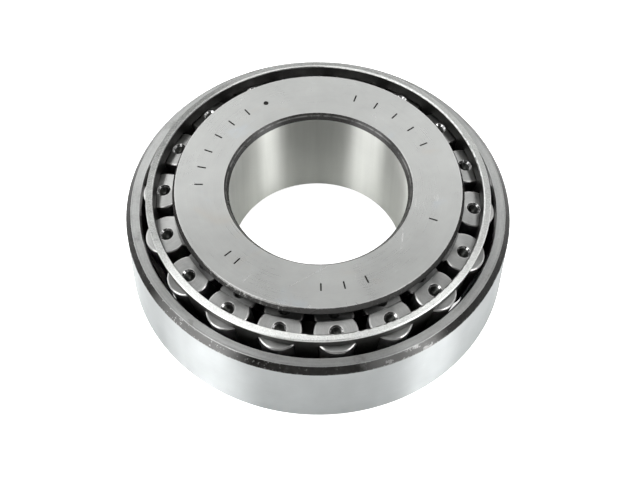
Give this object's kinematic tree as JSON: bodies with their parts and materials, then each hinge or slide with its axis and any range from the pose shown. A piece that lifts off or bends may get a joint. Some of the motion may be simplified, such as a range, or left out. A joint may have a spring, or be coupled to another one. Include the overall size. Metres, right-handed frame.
{
  "type": "tapered roller bearing",
  "caption": "Single-row tapered roller bearing with a loose cup, a ribbed cone, a stamped steel cage and dimpled tapered rollers that roll as the cone turns.",
  "frame": {"origin": "on the bearing axis, in the plane of the cup's back face, which is also the plane the cone's front face stands on at rest", "axes": "+Z along the bearing axis, from the rollers' small ends towards the cone's large rib and back face; +X through the axis of the first roller"},
  "size_m": [0.083, 0.083, 0.0254],
  "materials": {
    "cup_steel": "ground, satin; chamfers left dark",
    "cone_steel": "ground, satin; bore and rib polished",
    "cage_steel": "stamped sheet, tumbled, bright rim",
    "roller_steel": "ground satin ends, polished flanks"
  },
  "bodies": {
    "cup": {"cup": "cup_steel"},
    "cone": {"cone": "cone_steel"},
    "cage": {"cage": "cage_steel"},
    "roller_01": {"roller_01": "roller_steel"},
    "roller_02": {"roller_02": "roller_steel"},
    "roller_03": {"roller_03": "roller_steel"},
    "roller_04": {"roller_04": "roller_steel"},
    "roller_05": {"roller_05": "roller_steel"},
    "roller_06": {"roller_06": "roller_steel"},
    "roller_07": {"roller_07": "roller_steel"},
    "roller_08": {"roller_08": "roller_steel"},
    "roller_09": {"roller_09": "roller_steel"},
    "roller_10": {"roller_10": "roller_steel"},
    "roller_11": {"roller_11": "roller_steel"},
    "roller_12": {"roller_12": "roller_steel"},
    "roller_13": {"roller_13": "roller_steel"},
    "roller_14": {"roller_14": "roller_steel"},
    "roller_15": {"roller_15": "roller_steel"},
    "roller_16": {"roller_16": "roller_steel"},
    "roller_17": {"roller_17": "roller_steel"},
    "roller_18": {"roller_18": "roller_steel"}
  },
  "joints": [
    {"name": "cone_spin", "type": "hinge", "parent": "cup", "child": "cone", "pos_m": [0, 0, 0.0127], "axis": [0, 0, 1], "continuous": true},
    {"name": "cage_spin", "type": "hinge", "parent": "cup", "child": "cage", "pos_m": [0, 0, 0.0127], "axis": [0, 0, 1], "continuous": true},
    {"name": "roller_01_spin", "type": "hinge", "parent": "cage", "child": "roller_01", "pos_m": [0.03174, 0, 0.01251], "axis": [0.1919, 0, 0.9814], "continuous": true},
    {"name": "roller_02_spin", "type": "hinge", "parent": "cage", "child": "roller_02", "pos_m": [0.02982, 0.01085, 0.01251], "axis": [0.1804, 0.0656, 0.9814], "continuous": true},
    {"name": "roller_03_spin", "type": "hinge", "parent": "cage", "child": "roller_03", "pos_m": [0.02431, 0.0204, 0.01251], "axis": [0.147, 0.1234, 0.9814], "continuous": true},
    {"name": "roller_04_spin", "type": "hinge", "parent": "cage", "child": "roller_04", "pos_m": [0.01587, 0.02748, 0.01251], "axis": [0.096, 0.1662, 0.9814], "continuous": true},
    {"name": "roller_05_spin", "type": "hinge", "parent": "cage", "child": "roller_05", "pos_m": [0.00551, 0.03125, 0.01251], "axis": [0.0333, 0.189, 0.9814], "continuous": true},
    {"name": "roller_06_spin", "type": "hinge", "parent": "cage", "child": "roller_06", "pos_m": [-0.00551, 0.03125, 0.01251], "axis": [-0.0333, 0.189, 0.9814], "continuous": true},
    {"name": "roller_07_spin", "type": "hinge", "parent": "cage", "child": "roller_07", "pos_m": [-0.01587, 0.02748, 0.01251], "axis": [-0.096, 0.1662, 0.9814], "continuous": true},
    {"name": "roller_08_spin", "type": "hinge", "parent": "cage", "child": "roller_08", "pos_m": [-0.02431, 0.0204, 0.01251], "axis": [-0.147, 0.1234, 0.9814], "continuous": true},
    {"name": "roller_09_spin", "type": "hinge", "parent": "cage", "child": "roller_09", "pos_m": [-0.02982, 0.01085, 0.01251], "axis": [-0.1804, 0.0656, 0.9814], "continuous": true},
    {"name": "roller_10_spin", "type": "hinge", "parent": "cage", "child": "roller_10", "pos_m": [-0.03174, 0, 0.01251], "axis": [-0.1919, 0, 0.9814], "continuous": true},
    {"name": "roller_11_spin", "type": "hinge", "parent": "cage", "child": "roller_11", "pos_m": [-0.02982, -0.01085, 0.01251], "axis": [-0.1804, -0.0656, 0.9814], "continuous": true},
    {"name": "roller_12_spin", "type": "hinge", "parent": "cage", "child": "roller_12", "pos_m": [-0.02431, -0.0204, 0.01251], "axis": [-0.147, -0.1234, 0.9814], "continuous": true},
    {"name": "roller_13_spin", "type": "hinge", "parent": "cage", "child": "roller_13", "pos_m": [-0.01587, -0.02748, 0.01251], "axis": [-0.096, -0.1662, 0.9814], "continuous": true},
    {"name": "roller_14_spin", "type": "hinge", "parent": "cage", "child": "roller_14", "pos_m": [-0.00551, -0.03125, 0.01251], "axis": [-0.0333, -0.189, 0.9814], "continuous": true},
    {"name": "roller_15_spin", "type": "hinge", "parent": "cage", "child": "roller_15", "pos_m": [0.00551, -0.03125, 0.01251], "axis": [0.0333, -0.189, 0.9814], "continuous": true},
    {"name": "roller_16_spin", "type": "hinge", "parent": "cage", "child": "roller_16", "pos_m": [0.01587, -0.02748, 0.01251], "axis": [0.096, -0.1662, 0.9814], "continuous": true},
    {"name": "roller_17_spin", "type": "hinge", "parent": "cage", "child": "roller_17", "pos_m": [0.02431, -0.0204, 0.01251], "axis": [0.147, -0.1234, 0.9814], "continuous": true},
    {"name": "roller_18_spin", "type": "hinge", "parent": "cage", "child": "roller_18", "pos_m": [0.02982, -0.01085, 0.01251], "axis": [0.1804, -0.0656, 0.9814], "continuous": true}
  ],
  "couplings": [
    {"joint": "cage_spin", "follows": "cone_spin", "ratio": 0.43154},
    {"joint": "roller_01_spin", "follows": "cone_spin", "ratio": -3.5165},
    {"joint": "roller_02_spin", "follows": "cone_spin", "ratio": -3.5165},
    {"joint": "roller_03_spin", "follows": "cone_spin", "ratio": -3.5165},
    {"joint": "roller_04_spin", "follows": "cone_spin", "ratio": -3.5165},
    {"joint": "roller_05_spin", "follows": "cone_spin", "ratio": -3.5165},
    {"joint": "roller_06_spin", "follows": "cone_spin", "ratio": -3.5165},
    {"joint": "roller_07_spin", "follows": "cone_spin", "ratio": -3.5165},
    {"joint": "roller_08_spin", "follows": "cone_spin", "ratio": -3.5165},
    {"joint": "roller_09_spin", "follows": "cone_spin", "ratio": -3.5165},
    {"joint": "roller_10_spin", "follows": "cone_spin", "ratio": -3.5165},
    {"joint": "roller_11_spin", "follows": "cone_spin", "ratio": -3.5165},
    {"joint": "roller_12_spin", "follows": "cone_spin", "ratio": -3.5165},
    {"joint": "roller_13_spin", "follows": "cone_spin", "ratio": -3.5165},
    {"joint": "roller_14_spin", "follows": "cone_spin", "ratio": -3.5165},
    {"joint": "roller_15_spin", "follows": "cone_spin", "ratio": -3.5165},
    {"joint": "roller_16_spin", "follows": "cone_spin", "ratio": -3.5165},
    {"joint": "roller_17_spin", "follows": "cone_spin", "ratio": -3.5165},
    {"joint": "roller_18_spin", "follows": "cone_spin", "ratio": -3.5165}
  ]
}
